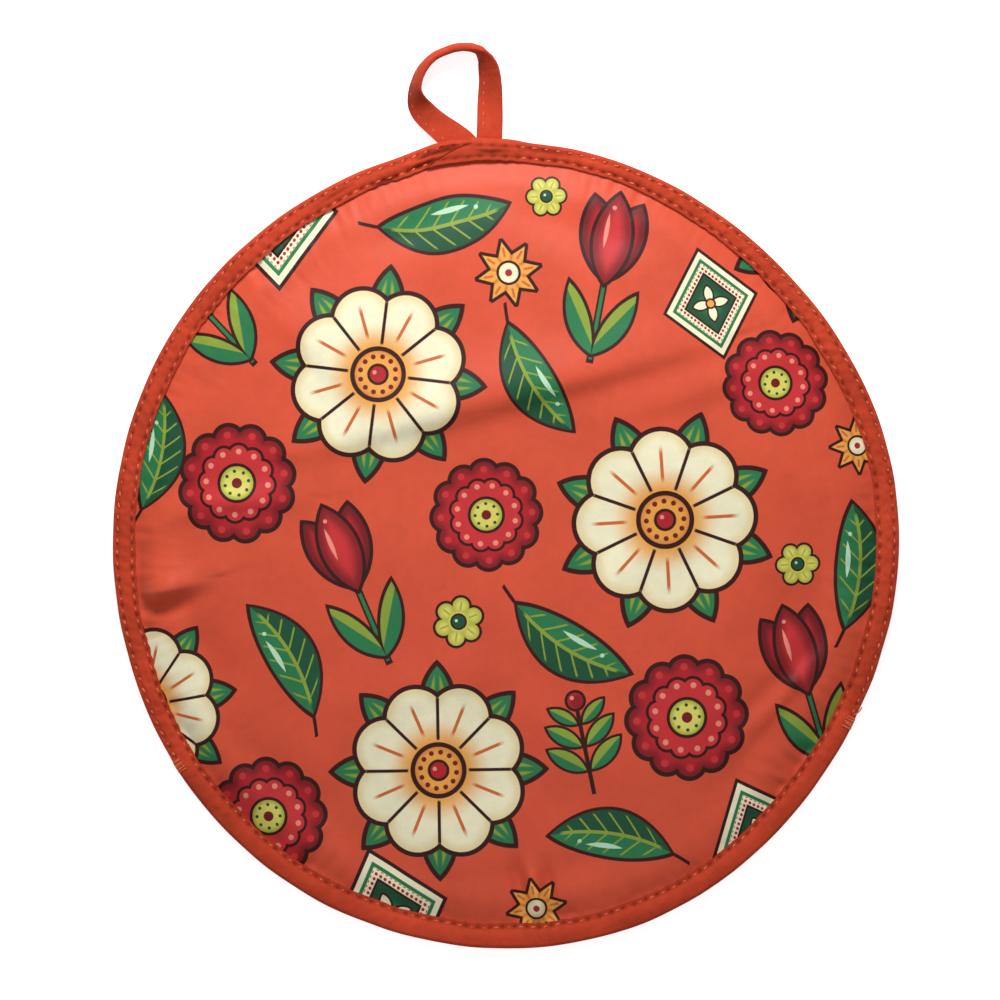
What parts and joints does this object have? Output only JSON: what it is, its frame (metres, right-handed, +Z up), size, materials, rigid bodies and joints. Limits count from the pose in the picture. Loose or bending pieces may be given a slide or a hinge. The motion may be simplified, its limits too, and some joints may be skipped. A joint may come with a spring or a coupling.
{
  "type": "tortilla warmer",
  "caption": "Round quilted fabric tortilla warmer: padded discs bound with tape and sewn together round the rim, with an open mouth on one side and a hanging loop opposite it.",
  "frame": {"origin": "centre of the flat underside of the back disc, where the warmer lies on a table", "axes": "+Z up out of the printed front, +Y towards the hanging loop, -Y towards the mouth"},
  "size_m": [0.3048, 0.3444, 0.0164],
  "materials": {
    "printed_fabric": "satin",
    "lining_fabric": "matte",
    "batting": "matte",
    "binding_tape": "satin",
    "thread": "satin"
  },
  "bodies": {
    "pouch": {"back_cover": "printed_fabric", "back_batting": "batting", "back_lining": "lining_fabric", "back_binding": "binding_tape", "back_binding_thread": "thread", "front_cover": "printed_fabric", "front_batting": "batting", "front_lining": "lining_fabric", "front_binding": "binding_tape", "front_binding_thread": "thread", "joining_thread": "thread", "left_bar_tack": "thread", "right_bar_tack": "thread", "loop_ends": "binding_tape"},
    "mouth_lip": {"front_cover_lip": "printed_fabric", "front_batting_lip": "batting", "front_lining_lip": "lining_fabric", "front_binding_lip": "binding_tape", "front_binding_thread_lip": "thread"},
    "loop": {"hanging_loop": "binding_tape", "loop_thread": "thread"}
  },
  "joints": [
    {"name": "mouth_open", "type": "hinge", "parent": "pouch", "child": "mouth_lip", "pos_m": [0, -0.08962, 0.01534], "axis": [-1, 0, 0], "range_deg": [0, 75]},
    {"name": "loop_swing", "type": "hinge", "parent": "pouch", "child": "loop", "pos_m": [-0.0032, 0.1554, 0.00355], "axis": [1, 0, 0], "range_deg": [-85, 115]}
  ]
}
